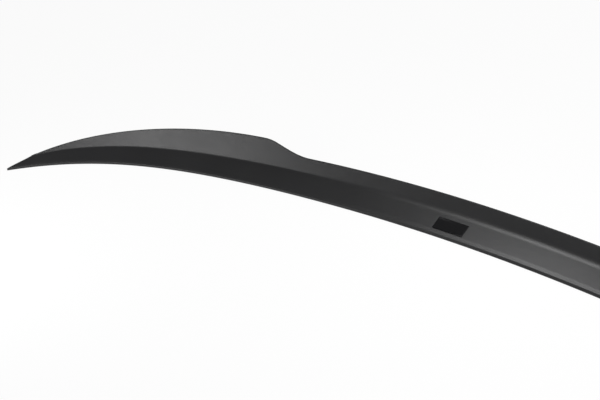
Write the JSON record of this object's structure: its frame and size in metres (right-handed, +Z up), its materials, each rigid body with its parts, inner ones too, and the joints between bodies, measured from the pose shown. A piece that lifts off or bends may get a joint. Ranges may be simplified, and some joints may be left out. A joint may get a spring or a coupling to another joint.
{
  "type": "spoiler extension",
  "caption": "Long curved boot-lid spoiler extension: a sloping ramp, an upturned rear lip that rises to an ear toward each tip, a hollow underside and a flat bonding land.",
  "frame": {"origin": "in the bonding plane, on the centre line, midway between the foremost tips and the rear foot", "axes": "+X along the span, -Y toward the leading edge and the rear window, +Z up from the boot lid"},
  "size_m": [1.15, 0.2191, 0.0367],
  "materials": {
    "satin_abs": "satin black moulded surface with a very fine grain",
    "badge_plastic": "smooth gloss black, blank"
  },
  "bodies": {
    "root": {"spoiler_shell": "satin_abs", "badge_plate": "badge_plastic"}
  },
  "joints": []
}
